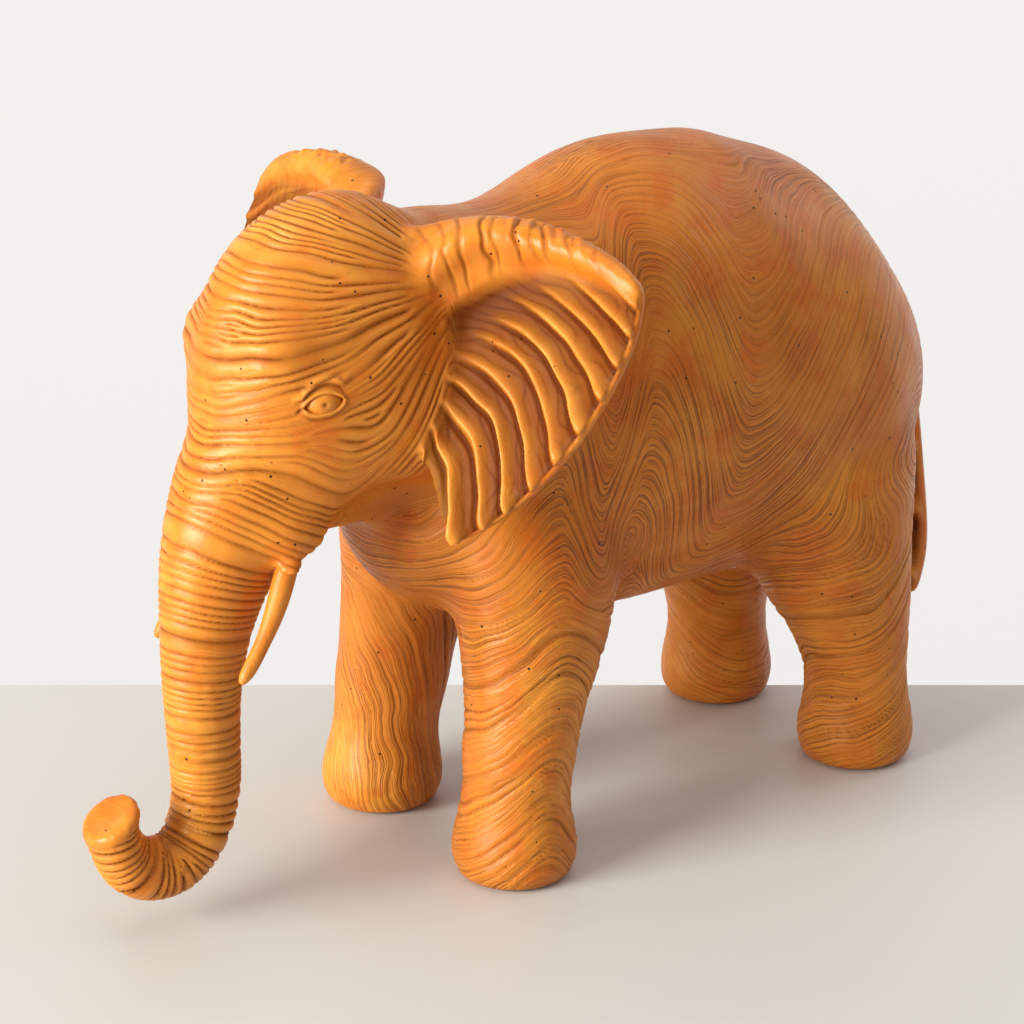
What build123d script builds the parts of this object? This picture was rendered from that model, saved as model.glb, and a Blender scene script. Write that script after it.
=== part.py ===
"""A carved wooden elephant, standing square with its trunk curled forward and its ears spread.

The carving is glued up from blocks, each with its grain along its own length: a torso, four legs,
a head and a trunk meet at flat glue faces over dowels, the ears are let into slots in the head,
and the tusks, eyes and tail are separate pieces set in sockets.
Units are millimetres. +X is forward, +Y is the elephant's left and +Z is up. The shapes are drawn
about the point midway between the four feet, and are moved to the middle of the box's base at the end.
"""

from build123d import *
from math import atan2, cos, pi, sin
import os

# Overall size and stance
HEIGHT = 210.0           # top of the back above the table
STANCE_X = 70.7          # each foot's centre, ahead of or behind the middle
STANCE_Y = 34.2          # each foot's centre, left or right of the middle
FOOT_R = 19.2            # the widest part of a foot
SOLE_R = 17.0            # the flat face a foot rests on

# Glue faces between the blocks
LEG_JOINT_Z = 61.0       # torso above, legs below
NECK_JOINT_X = 86.0      # torso behind, head in front
CHIN_Z = 113.0           # the head rests on the chest here, in front of the neck joint
TRUNK_JOINT_Z = 98.0     # head above, trunk below

# Dowels: radius, and how far each goes into the two blocks it joins
LEG_DOWEL = (6.0, 20.0)
NECK_DOWEL = (6.0, 20.0)
TRUNK_DOWEL = (4.0, 15.0)
NECK_DOWEL_Z = (138.0, 172.0)

EYE = (131.4, 25.7, 157.8)
EYE_R = 4.2
EAR_THICKNESS = 4.5
SECTION_POINTS = 16      # points of each closed section curve
FAR = 400.0              # beyond every piece, for the slabs that trim them

# Torso: place along X, top, bottom and half width
TORSO = [
    (-115.5, 135.0, 113.0, 8.0),
    (-112.5, 144.0, 102.0, 15.5),
    (-106.0, 154.0, 91.0, 24.0),
    (-95.0, 166.0, 79.0, 33.5),
    (-80.0, 181.5, 70.0, 43.0),
    (-57.0, 197.0, 66.0, 50.0),
    (-28.0, 207.5, 65.0, 52.5),
    (2.0, HEIGHT, 65.0, 52.5),
    (34.0, 203.0, 67.0, 48.5),
    (62.0, 198.0, 72.0, 43.0),
    (NECK_JOINT_X, 198.5, 81.0, 37.0),
    (96.0, 190.0, 90.0, 29.0),
    (102.0, 168.0, 106.0, 15.0),
]

# Head: place along X, top, bottom and half width
HEAD = [
    (80.0, 202.0, 112.0, 31.0),
    (96.0, 206.0, 111.0, 34.0),
    (112.0, 209.0, 110.0, 34.0),
    (126.0, 206.0, 108.0, 31.0),
    (138.0, 199.0, 112.0, 26.0),
    (147.0, 187.5, 124.0, 19.0),
    (151.5, 178.5, 134.0, 12.0),
    (153.8, 168.0, 146.0, 5.0),
]

# Trunk: place along X, height, and half thickness fore and aft and side to side
TRUNK = [
    (118.0, 160.0, 26.5, 26.0),
    (130.0, 144.0, 24.4, 24.0),
    (141.5, 126.0, 20.5, 20.5),
    (150.7, 108.0, 17.4, 17.0),
    (155.7, 89.0, 13.8, 13.4),
    (157.7, 70.0, 11.7, 11.6),
    (157.6, 52.0, 10.9, 10.8),
    (157.9, 38.0, 10.5, 10.4),
    (161.8, 26.0, 10.0, 10.0),
    (170.2, 18.2, 9.0, 9.6),
    (179.2, 18.7, 8.6, 9.3),
    (185.9, 24.4, 8.2, 9.0),
    (189.2, 32.5, 7.8, 8.9),
    (190.4, 42.0, 8.0, 9.3),
]

# Legs: height, how far the centre stands forward and outward of the foot, and half thickness along X and Y
FRONT_LEG = [
    (0.0, 0.0, 0.0, SOLE_R, SOLE_R),
    (3.0, 0.0, 0.0, FOOT_R - 0.9, FOOT_R - 0.9),
    (9.0, 0.0, 0.0, FOOT_R, FOOT_R),
    (20.0, -0.5, 0.0, 17.0, 17.0),
    (33.0, -2.0, -0.2, 16.3, 16.3),
    (47.0, -4.2, -0.8, 17.6, 17.0),
    (62.0, -7.2, -2.0, 20.6, 18.8),
    (80.0, -10.5, -4.0, 25.0, 20.5),
    (100.0, -12.5, -7.0, 29.0, 21.5),
    (120.0, -13.0, -11.0, 27.0, 19.0),
    (134.0, -13.0, -14.0, 18.0, 12.0),
]
HIND_LEG = [
    (0.0, 0.0, 0.0, SOLE_R, SOLE_R),
    (3.0, 0.0, 0.0, FOOT_R - 0.9, FOOT_R - 0.9),
    (9.0, 0.0, 0.0, FOOT_R, FOOT_R),
    (20.0, 0.0, 0.0, 17.6, 17.6),
    (31.0, 0.6, -0.4, 17.2, 16.8),
    (45.0, 2.8, -1.5, 20.0, 19.0),
    (62.0, 7.2, -3.6, 25.8, 22.2),
    (80.0, 11.0, -5.4, 31.0, 24.0),
    (100.0, 12.4, -7.5, 35.4, 24.2),
    (120.0, 12.0, -11.0, 32.5, 20.5),
    (134.0, 12.0, -14.0, 22.0, 13.0),
]

# Ear: control net of the left ear's front face. Rows run from the root out to the outer edge,
# and each row runs from the top edge down to the lobe.
EAR_NET = [
    [(97.0, 21.0, 199.0), (94.0, 19.0, 182.0), (96.0, 21.0, 166.0), (100.0, 28.0, 147.0)],
    [(75.0, 30.0, 209.0), (80.0, 38.0, 188.0), (86.0, 44.0, 162.0), (102.0, 35.0, 136.0)],
    [(66.0, 56.0, 203.0), (66.0, 64.0, 184.0), (79.0, 66.0, 152.0), (104.0, 41.0, 124.0)],
    [(67.0, 84.0, 193.0), (76.2, 96.0, 174.5), (89.0, 69.0, 128.0), (104.0, 48.0, 116.0)],
]

# Rolled top rim of the left ear: centre line and radius
EAR_RIM = [
    (95.0, 17.0, 182.0, 5.0),
    (92.0, 27.0, 192.0, 6.0),
    (85.0, 33.0, 197.5, 5.8),
    (75.5, 46.0, 199.0, 4.8),
    (70.5, 62.0, 197.5, 3.8),
    (67.5, 78.0, 193.0, 2.8),
    (67.0, 81.5, 191.5, 1.6),
]

# Tusk: centre line of the left tusk from the root out, and radius
TUSK = [
    (134.5, 16.5, 121.0, 4.0),
    (137.8, 18.0, 113.5, 4.0),
    (141.2, 19.4, 106.5, 3.9),
    (146.4, 21.0, 96.5, 3.5),
    (152.6, 22.0, 87.0, 2.9),
    (158.2, 22.4, 80.0, 2.1),
    (159.4, 22.4, 78.6, 1.1),
]

# Tail: place along X, height, and half thickness fore and aft and side to side
TAIL = [
    (-106.5, 147.0, 2.5, 4.0),
    (-112.5, 137.0, 3.4, 5.0),
    (-117.5, 121.0, 4.0, 5.2),
    (-122.0, 103.0, 4.3, 5.0),
    (-125.2, 84.0, 4.5, 5.0),
    (-127.0, 64.0, 5.2, 6.2),
    (-127.4, 45.0, 5.2, 6.2),
    (-126.6, 33.0, 3.4, 4.0),
]


def section(centre, across, up, half_width, above, below):
    """A closed oval: half_width to each side of its centre, and above and below it as given."""
    centre, across, up = Vector(*centre), Vector(*across), Vector(*up)
    points = []
    for k in range(SECTION_POINTS):
        angle = 2 * pi * k / SECTION_POINTS
        reach = above if cos(angle) > 0 else below
        points.append(centre + across * (half_width * sin(angle)) + up * (reach * cos(angle)))
    return Wire([Spline(*points, periodic=True).edge()])


def block_along_x(stations):
    """A body lofted through upright ovals, widest a little below the middle of their height."""
    wires = []
    for x, top, bottom, half_width in stations:
        middle = bottom + 0.47 * (top - bottom)
        wires.append(section((x, 0, middle), (0, 1, 0), (0, 0, 1), half_width, top - middle, middle - bottom))
    return Solid.make_loft(wires)


def limb(stations):
    """A body lofted through ovals square to a centre line in the XZ plane: x, z, half thickness, half width."""
    wires = []
    for k, (x, z, half_thickness, half_width) in enumerate(stations):
        before, after = stations[max(k - 1, 0)], stations[min(k + 1, len(stations) - 1)]
        lean = atan2(after[1] - before[1], after[0] - before[0])
        ahead = (-sin(lean), 0, cos(lean))
        wires.append(section((x, 0, z), (0, 1, 0), ahead, half_width, half_thickness, half_thickness))
    return Solid.make_loft(wires)


def leg(stations, foot_x):
    """A left leg, standing on its flat sole."""
    wires = []
    for z, forward, outward, half_length, half_width in stations:
        centre = (foot_x + forward, STANCE_Y + outward, z)
        wires.append(section(centre, (0, 1, 0), (1, 0, 0), half_width, half_length, half_length))
    return Solid.make_loft(wires)


def leg_joint_middle(block):
    """The middle of a leg's glue face."""
    box = (block & slab((-FAR, -FAR, LEG_JOINT_Z), (FAR, FAR, LEG_JOINT_Z + 0.1))).bounding_box()
    return (box.center().X, box.center().Y, LEG_JOINT_Z)


def trunk_joint_axis():
    """The point where the trunk's centre line crosses its glue face, and the centre line's direction there."""
    for (x0, z0, *_), (x1, z1, *_) in zip(TRUNK, TRUNK[1:]):
        if z0 >= TRUNK_JOINT_Z > z1:
            share = (z0 - TRUNK_JOINT_Z) / (z0 - z1)
            return (x0 + share * (x1 - x0), 0, TRUNK_JOINT_Z), (x1 - x0, 0, z1 - z0)


def slab(low, high):
    """The box between two corners."""
    size = [b - a for a, b in zip(low, high)]
    middle = [(a + b) / 2 for a, b in zip(low, high)]
    return Pos(*middle) * Box(*size)


def dowel(middle, direction, radius, half):
    plane = Plane(origin=Vector(*middle) - Vector(*direction).normalized() * half, z_dir=direction)
    return Solid.make_cylinder(radius, 2 * half, plane)


def tube(stations):
    """A round rod of changing radius along a curve through the stations: x, y, z, radius."""
    wires = []
    for k, (x, y, z, radius) in enumerate(stations):
        before, after = stations[max(k - 1, 0)], stations[min(k + 1, len(stations) - 1)]
        along = (Vector(*after[:3]) - Vector(*before[:3])).normalized()
        across = along.cross(Vector(0.3, 0, 1)).normalized()
        wires.append(section((x, y, z), across, across.cross(along), radius, radius, radius))
    return Solid.make_loft(wires)


def ear():
    face = Face.make_bezier_surface([[Vector(*p) for p in row] for row in EAR_NET])
    blade = Solid.thicken(face, EAR_THICKNESS)
    return largest(blade + tube(EAR_RIM))


def mirrored(shape):
    return shape.mirror(Plane.XZ)


def as_list(shape):
    return shape if isinstance(shape, list) else [shape]


def largest(shape):
    """The largest solid of a boolean's result."""
    return max(shape.solids(), key=lambda solid: solid.volume)


def without(shape, tools):
    for tool in tools:
        shape = shape - tool
    return largest(shape)


def build():
    """Every piece, by name. A piece with more than one solid is a list of them."""
    front_leg, hind_leg = leg(FRONT_LEG, STANCE_X), leg(HIND_LEG, -STANCE_X)
    leg_blocks = {
        "front_left_leg": front_leg,
        "front_right_leg": mirrored(front_leg),
        "hind_left_leg": hind_leg,
        "hind_right_leg": mirrored(hind_leg),
    }
    below_leg_joint = slab((-FAR, -FAR, -FAR), (FAR, FAR, LEG_JOINT_Z))
    below_trunk_joint = slab((-FAR, -FAR, -FAR), (FAR, FAR, TRUNK_JOINT_Z))
    head_notch = slab((NECK_JOINT_X, -FAR, CHIN_Z), (FAR, FAR, FAR))

    trunk_limb = limb(TRUNK)
    left_ear, left_tusk, tail = ear(), tube(TUSK), limb(TAIL)
    left_eye = Pos(*EYE) * Sphere(EYE_R)
    set_in_head = [left_ear, left_tusk, left_eye]
    set_in_head += [mirrored(shape) for shape in set_in_head]

    neck_dowels = [dowel((NECK_JOINT_X, 0, z), (1, 0, 0), *NECK_DOWEL) for z in NECK_DOWEL_Z]
    leg_dowels = [dowel(leg_joint_middle(block), (0, 0, 1), *LEG_DOWEL) for block in leg_blocks.values()]
    trunk_dowel = dowel(*trunk_joint_axis(), *TRUNK_DOWEL)

    torso = block_along_x(TORSO)
    for block in leg_blocks.values():
        torso = torso + block
    torso = without(torso, [below_leg_joint, head_notch, tail, left_ear, mirrored(left_ear)])
    head = (block_along_x(HEAD) & head_notch) + (trunk_limb - below_trunk_joint)
    head = without(head, set_in_head)

    pieces = {
        "torso": without(torso, neck_dowels + leg_dowels),
        "head": without(head, neck_dowels + [trunk_dowel]),
        "trunk": without(trunk_limb & below_trunk_joint, [trunk_dowel]),
        "left_ear": left_ear,
        "right_ear": mirrored(left_ear),
        "left_tusk": left_tusk,
        "right_tusk": mirrored(left_tusk),
        "left_eye": left_eye,
        "right_eye": mirrored(left_eye),
        "tail": tail,
        "neck_dowels": neck_dowels,
        "leg_dowels": leg_dowels,
        "trunk_dowel": trunk_dowel,
    }
    for name, block in leg_blocks.items():
        pieces[name] = without(block & below_leg_joint, leg_dowels)
    return pieces


def export(pieces):
    """Writes every piece to parts/, with the origin at the middle of the whole object's base."""
    boxes = [solid.bounding_box() for shape in pieces.values() for solid in as_list(shape)]
    middle_x = (min(box.min.X for box in boxes) + max(box.max.X for box in boxes)) / 2
    os.makedirs("parts", exist_ok=True)
    for name, shape in pieces.items():
        placed = [Pos(-middle_x, 0, 0) * solid for solid in as_list(shape)]
        export_step(placed[0] if len(placed) == 1 else Compound(placed), f"parts/{name}.step")


export(build())
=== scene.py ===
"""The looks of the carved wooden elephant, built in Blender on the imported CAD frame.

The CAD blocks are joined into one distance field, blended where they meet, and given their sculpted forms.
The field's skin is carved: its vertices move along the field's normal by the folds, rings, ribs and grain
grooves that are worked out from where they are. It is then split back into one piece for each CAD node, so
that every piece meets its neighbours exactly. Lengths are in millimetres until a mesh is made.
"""

import math

import bpy
import numpy as np
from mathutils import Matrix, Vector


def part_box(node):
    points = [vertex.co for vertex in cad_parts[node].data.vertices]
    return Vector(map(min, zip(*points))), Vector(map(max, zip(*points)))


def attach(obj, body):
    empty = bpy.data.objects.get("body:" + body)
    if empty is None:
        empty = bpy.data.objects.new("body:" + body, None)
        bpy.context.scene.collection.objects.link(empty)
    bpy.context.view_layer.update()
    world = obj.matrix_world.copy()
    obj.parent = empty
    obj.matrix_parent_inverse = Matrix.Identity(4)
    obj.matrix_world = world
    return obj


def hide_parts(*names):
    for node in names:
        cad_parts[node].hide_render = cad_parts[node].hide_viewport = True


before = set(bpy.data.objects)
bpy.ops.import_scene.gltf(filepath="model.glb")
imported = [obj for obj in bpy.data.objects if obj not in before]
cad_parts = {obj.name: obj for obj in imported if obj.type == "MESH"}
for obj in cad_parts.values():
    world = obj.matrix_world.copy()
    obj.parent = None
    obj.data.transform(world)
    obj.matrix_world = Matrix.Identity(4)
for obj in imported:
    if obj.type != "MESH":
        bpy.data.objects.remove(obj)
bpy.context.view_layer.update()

import openvdb as vdb
from mathutils import Vector
from mathutils.kdtree import KDTree

MM = 0.001

# The field
VOXEL = 1.4
BAND = 12.0  # how far from the surface the field is true
BLOCK_FILLET = 6.5  # radius of the hollows where legs, torso and head meet
EAR_BLEND = 5.0  # how softly an ear flows into the head
ROLL_BLEND = 3.0  # and its rolled rim into the ear
TAIL_BLEND = 3.0
RIM_BLEND = 2.5  # and the swollen rim of the tip into the trunk
SKIN_VOXEL = 1.4  # spacing of the skin's points on the body, before they are subdivided
HEAD_VOXEL = 1.8  # and on the head, trunk and ears, which are subdivided twice

LEG_NODES = ["front_left_leg", "front_right_leg", "hind_left_leg", "hind_right_leg"]
BLOCKS = ["torso", "head", "trunk"] + LEG_NODES
DOWELS = ["neck_dowels", "leg_dowels", "trunk_dowel"]
EARS = ["left_ear", "right_ear"]
CARVED = BLOCKS + EARS + ["tail"]

# Each leg, as (front, left)
LEGS = [(True, True), (True, False), (False, True), (False, False)]

# The elephant's own axes: x is measured from midway between its front and hind feet
MIDDLE_X = (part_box("front_left_leg")[1][0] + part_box("hind_left_leg")[0][0]) / 2 / MM

# The trunk's centre line, from inside the head to the tip: x and z
TRUNK_LINE = np.array([
    (96, 192), (108, 176), (118, 160), (130, 144), (141.5, 126), (150.7, 108), (155.7, 89), (157.7, 70),
    (157.6, 52), (157.9, 38), (161.8, 26), (170.2, 18.2), (179.2, 18.7), (185.9, 24.4), (189.2, 32.5),
    (190.4, 42),
], float)

EYE = (np.array(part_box("left_eye")[0]) + np.array(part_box("left_eye")[1])) / 2 / MM - [MIDDLE_X, 0, 0]

# The left ear's front face: rows run from the root out, and each row from the top edge down to the lobe
EAR_NET = np.array([
    [(97, 21, 199), (94, 19, 182), (96, 21, 166), (100, 28, 147)],
    [(75, 30, 209), (80, 38, 188), (86, 44, 162), (102, 35, 136)],
    [(66, 56, 203), (66, 64, 184), (79, 66, 152), (104, 41, 124)],
    [(67, 84, 193), (76.2, 96, 174.5), (89, 69, 128), (104, 48, 116)],
], float)

# Where the skin is cut into pieces
LEG_JOINT_Z = 61.0
NECK_JOINT_X = 86.0
CHIN_Z = 113.0  # the torso reaches ahead of the neck joint below this
TRUNK_JOINT_Z = 98.0
TRUNK_BACK_X = 118.0  # nothing of the trunk is behind this
CHEST_X = 112.0  # nothing of the torso is ahead of this
FACE_X = 126.0  # all of the skin ahead of this is the head's or the trunk's
LIP_DEPTH = 1.6  # how far the skin turns in at a glue face

# The middle of the left front foot
FOOT_X = 70.7
FOOT_Y = 34.2


# -------- small tools

def smoothstep(low, high, value):
    """Rises from 0 at low to 1 at high, or falls where low is the larger."""
    t = np.clip((value - low) / (high - low), 0, 1)
    return t * t * (3 - 2 * t)


def bump(distance, width):
    """1 where the distance is 0, falling away over the width on both sides."""
    return np.exp(-(distance / width) ** 2)


def waves(points, size, seed, count=9):
    """Smooth noise from -1 to 1 or so: a sum of plane waves about size long, in random directions."""
    rng = np.random.default_rng(seed)
    total = np.zeros(len(points))
    for _ in range(count):
        direction = rng.normal(size=3)
        direction *= 2 * np.pi / (size * rng.uniform(0.7, 1.5) * np.linalg.norm(direction))
        total += np.sin(points @ direction + rng.uniform(0, 2 * np.pi))
    return total / math.sqrt(count)


def random_of(number, seed):
    """A fixed random number from 0 to 1 for each whole number."""
    return np.abs(np.sin(number * 12.9898 + seed * 78.233) * 43758.5453) % 1.0


def unit(vectors):
    return vectors / np.maximum(np.linalg.norm(vectors, axis=1), 1e-12)[:, None]


def smooth_union(a, b, softness):
    """The field of two forms joined, with a fillet as wide as the softness where they meet."""
    share = np.clip(0.5 + 0.5 * (b - a) / softness, 0, 1)
    return b * (1 - share) + a * share - softness * share * (1 - share)


# -------- the field

def cad_mesh(name):
    """A CAD node's vertices, in the elephant's axes, and its triangles."""
    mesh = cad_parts[name].data
    mesh.calc_loop_triangles()
    points = np.empty(len(mesh.vertices) * 3, np.float32)
    mesh.vertices.foreach_get("co", points)
    triangles = np.empty(len(mesh.loop_triangles) * 3, np.int32)
    mesh.loop_triangles.foreach_get("vertices", triangles)
    points = points.reshape(-1, 3).astype(float) / MM
    points[:, 0] -= MIDDLE_X
    return points, triangles.reshape(-1, 3)


class Field:
    """Signed distances on a block of voxels, negative inside."""

    def __init__(self, low, high, voxel=VOXEL):
        self.voxel = voxel
        self.low = np.floor(np.array(low) / voxel).astype(int)
        self.shape = tuple(np.ceil(np.array(high) / voxel).astype(int) - self.low + 1)
        axes = [(self.low[k] + np.arange(self.shape[k])) * voxel for k in range(3)]
        self.x = axes[0][:, None, None]
        self.y = axes[1][None, :, None]
        self.z = axes[2][None, None, :]

    def corner(self):
        return tuple(int(v) for v in self.low)

    def from_mesh(self, points, faces, band=BAND):
        """Distances from a closed triangle mesh, true as far as the band."""
        grid = vdb.FloatGrid.createLevelSetFromPolygons(
            np.ascontiguousarray(points, np.float32),
            triangles=np.ascontiguousarray(faces, np.uint32),
            transform=vdb.createLinearTransform(self.voxel),
            halfWidth=band / self.voxel,
        )
        values = np.zeros(self.shape, np.float32)
        grid.copyToArray(values, ijk=self.corner())
        return values

    def to_mesh(self, values, level=0.0):
        """The surface where the values equal the level: points and quads."""
        grid = vdb.FloatGrid(BAND)
        grid.copyFromArray(np.ascontiguousarray(values - level, np.float32), ijk=self.corner())
        grid.transform = vdb.createLinearTransform(self.voxel)
        return grid.convertToQuads(0.0)

    def sample(self, values, points):
        """The field's values at the points, between voxels in proportion."""
        place = points / self.voxel - self.low
        base = np.clip(np.floor(place).astype(int), 0, np.array(self.shape) - 2)
        part = place - base
        total = np.zeros(len(points))
        for corner in range(8):
            step = np.array([corner & 1, corner >> 1 & 1, corner >> 2 & 1])
            weight = np.prod(np.where(step, part, 1 - part), axis=1)
            i, j, k = (base + step).T
            total += weight * values[i, j, k]
        return total

    def normals(self, values, points):
        """The directions in which the values grow at the points."""
        return unit(np.stack([
            self.sample(values, points + offset) - self.sample(values, points - offset)
            for offset in np.eye(3) * self.voxel
        ], axis=1))

    def ellipsoid(self, centre, radii):
        """Roughly the signed distance from an ellipsoid on both sides of the middle plane."""
        parts = ((self.x - centre[0]) / radii[0], (np.abs(self.y) - centre[1]) / radii[1],
                 (self.z - centre[2]) / radii[2])
        return (np.sqrt(parts[0] ** 2 + parts[1] ** 2 + parts[2] ** 2) - 1) * min(radii)


def quads_to_triangles(quads):
    return np.concatenate([quads[:, [0, 1, 2]], quads[:, [0, 2, 3]]])


def blurred(values, passes):
    """The values averaged with their neighbours along each axis, passes times."""
    for _ in range(passes):
        for axis in range(3):
            ahead = np.roll(values, 1, axis)
            behind = np.roll(values, -1, axis)
            values = (ahead + 2 * values + behind) / 4
    return values


# How far the right ear's tip is turned forward, and how far its top edge is raised
EAR_TURN = 10
EAR_RAISE = 3.5

# Forms blended into the head, and hollowed out of it, on both sides: centre, radii and softness
ADDED = [
    ((137.5, 17, 170.5), (9, 7.5, 7), 8.0),  # brow
    ((135, 19, 119), (12, 6.5, 9), 5.0),  # the lip's flare over the tusk
    ((141, 22.5, 110), (4.2, 4.2, 2.4), 1.5),  # collar of glue round the tusk
]
HOLLOWED = [
    ((121, 41, 178), (15, 9, 11), 7.0),  # temple
    ((108, 33, 118), (20, 19, 12.5), 4.0),  # throat, below the jaw
]

# Places where the skin is eased out, or in where the amount is below zero: centre, radius and amount
EASED = [
    ((153, 0, 140), 16, 1.0),  # front of the trunk's root
    ((45, 12, 205), 26, -1.3),  # withers
    ((-88, 28, 178), 32, -0.8),  # rump
    ((-118, 15, 152), 24, -1.6),  # above the tail
    ((-58, -5, 206), 26, 1.0),  # top of the rump
    ((76, 37, 207), 9, -1.4),  # top of the left ear
    ((28, 40, 66), 20, 1.5),  # belly
    ((28, -40, 66), 20, 1.5),
    ((-42, 36, 62), 16, 2.2),  # front of the left hind leg
    ((-42, -36, 62), 16, 1.5),  # and of the right one
    ((88, 38, 38), 22, 1.7),  # front of the left front leg
    ((54, -24, 38), 22, 2.0),  # inner side of the right front leg
    ((88, -46, 75), 18, -1.2),  # right shoulder
    ((172, 0, 34), 8, -1.0),  # inside of the trunk's curl
    ((106, 45, 119), 7, 1.8),  # lobes of the ears
    ((106, -45, 119), 7, 1.8),
    ((126, 18, 110), 9, -2.2),  # under the lips
    ((126, -18, 110), 9, -2.2),
]


def turned_ear(points):
    """Where the right ear's points go: its tip is further forward than the left's, its root further back."""
    x, y, z = points.T
    outer = smoothstep(35, 80, -y)
    root = smoothstep(50, 25, -y) * smoothstep(180, 196, z)
    raised = smoothstep(30, 55, -y) * smoothstep(86, 66, -y)
    return np.column_stack([x + EAR_TURN * outer - EAR_TURN * root, y, z + EAR_RAISE * raised])


def bezier(t):
    """The four weights of a cubic Bezier curve at each t."""
    t = np.asarray(t, float)[..., None]
    return np.concatenate([(1 - t) ** 3, 3 * t * (1 - t) ** 2, 3 * t * t * (1 - t), t ** 3], -1)


def on_sheet(u, v):
    """Places on the left ear's front face, and the directions it faces there."""
    def place(u, v):
        return np.einsum("ni,nj,ijk->nk", bezier(u), bezier(v), EAR_NET)

    front = unit(np.cross(place(u + 0.01, v) - place(u - 0.01, v), place(u, v + 0.01) - place(u, v - 0.01)))
    return place(u, v), front * np.sign(front[:, :1])


# The rolled rim of an ear: u, v, half its width and its thickness in front of the sheet
EAR_ROLL = np.array([
    (0.02, 0.34, 10.0, 3.6), (0.20, 0.21, 9.0, 4.4), (0.38, 0.13, 7.0, 4.0),
    (0.56, 0.07, 4.2, 2.6), (0.75, 0.05, 3.0, 1.8), (0.95, 0.04, 2.4, 1.2),
])
ROLL_STEPS = 26


def ear_roll(field, right):
    """The field of the rolled rim: flattened balls in a row, thick at the root and thin at the tip."""
    u = np.linspace(EAR_ROLL[0, 0], EAR_ROLL[-1, 0], ROLL_STEPS)
    v, width, thick = (np.interp(u, EAR_ROLL[:, 0], EAR_ROLL[:, k]) for k in (1, 2, 3))
    places, fronts = on_sheet(u, v)
    if right:
        places = turned_ear(places * [1, -1, 1])
        fronts = fronts * [1, -1, 1]
    values = np.full(field.shape, BAND)
    for place, front, across, depth in zip(places, fronts, width, thick):
        x, y, z = field.x - place[0], field.y - place[1], field.z - place[2]
        away = x * front[0] + y * front[1] + z * front[2]
        flat = x * x + y * y + z * z - away * away
        values = np.minimum(values, (np.sqrt(flat / across ** 2 + (away / depth) ** 2) - 1) * depth)
    return values


# The trunk's tip: the middle of its face, and the way that it faces
TIP = np.array([190.0, 0.0, 40.0])
TIP_FACING = np.array([0.52, 0.04, 0.853])
TIP_REACH = 16.0  # nothing of the trunk beyond this from the tip's middle is cut
RIM_RADIUS = 7.2  # of the swollen rim, and how far back and how thick it is
RIM_BACK = 1.8
RIM_THICKNESS = 1.9
DISH_RADIUS = 6.0
DISH_DEPTH = 1.3


def tip_shaped(field, skin):
    """Cuts the trunk's end flat, with a swollen rim and a shallow dish."""
    x, y, z = field.x - TIP[0], field.y - TIP[1], field.z - TIP[2]
    away = x * TIP_FACING[0] + y * TIP_FACING[1] + z * TIP_FACING[2]
    aside = np.sqrt(np.maximum(x * x + y * y + z * z - away * away, 0))
    rim = np.hypot(aside - RIM_RADIUS, away + RIM_BACK) - RIM_THICKNESS
    skin = smooth_union(skin, rim, RIM_BLEND)
    near = (aside < TIP_REACH) & (away > -TIP_REACH / 2)
    skin = np.where(near, np.maximum(skin, away), skin)
    dish = (np.sqrt((aside / DISH_RADIUS) ** 2 + (away / DISH_DEPTH) ** 2) - 1) * DISH_DEPTH
    return np.maximum(skin, -dish)


def build_field():
    """The block of voxels, the whole skin, the body without ears and tail, and each node on its own."""
    boxes = np.array([[np.array(corner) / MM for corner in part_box(name)] for name in CARVED])
    boxes[:, :, 0] -= MIDDLE_X
    field = Field(boxes[:, 0].min(0) - 2 * BAND, boxes[:, 1].max(0) + 2 * BAND)
    single = {}
    for name in CARVED:
        points, triangles = cad_mesh(name)
        if name == "right_ear":
            points = turned_ear(points)
        single[name] = field.from_mesh(points, triangles)

    solids = [single[name] for name in BLOCKS] + [field.from_mesh(*cad_mesh(name)) for name in DOWELS]
    body = np.minimum.reduce(solids)
    points, quads = field.to_mesh(body, BLOCK_FILLET)
    body = field.from_mesh(points, quads_to_triangles(quads)) + BLOCK_FILLET
    body = blurred(body, 3)
    for centre, radii, softness in ADDED:
        body = smooth_union(body, field.ellipsoid(centre, radii), softness)
    for centre, radii, softness in HOLLOWED:
        body = -smooth_union(-body, field.ellipsoid(centre, radii), softness)
    for (x, y, z), radius, amount in EASED:
        distance = (field.x - x) ** 2 + (field.y - y) ** 2 + (field.z - z) ** 2
        body = body - amount * np.exp(-distance / radius ** 2)
    skin = tip_shaped(field, body)
    for name in EARS:
        skin = smooth_union(skin, single[name], EAR_BLEND)
        skin = smooth_union(skin, ear_roll(field, name == "right_ear"), ROLL_BLEND)
    skin = smooth_union(skin, single["tail"], TAIL_BLEND)
    skin = blurred(skin, 1)
    skin = np.maximum(skin, -field.z)
    return field, skin, body, single


field, skin, body, single = build_field()


# -------- the skin's mesh

def new_mesh(name, points, faces):
    """A mesh from arrays of points and of faces, which all have as many sides."""
    mesh = bpy.data.meshes.new(name)
    mesh.vertices.add(len(points))
    mesh.vertices.foreach_set("co", points.astype(np.float32).ravel())
    mesh.loops.add(faces.size)
    mesh.loops.foreach_set("vertex_index", faces.astype(np.int32).ravel())
    mesh.polygons.add(len(faces))
    mesh.polygons.foreach_set("loop_start", faces.shape[1] * np.arange(len(faces), dtype=np.int32))
    mesh.update(calc_edges=True)
    return mesh


def new_object(name, data):
    thing = bpy.data.objects.new(name, data)
    bpy.context.scene.collection.objects.link(thing)
    return thing


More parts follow.
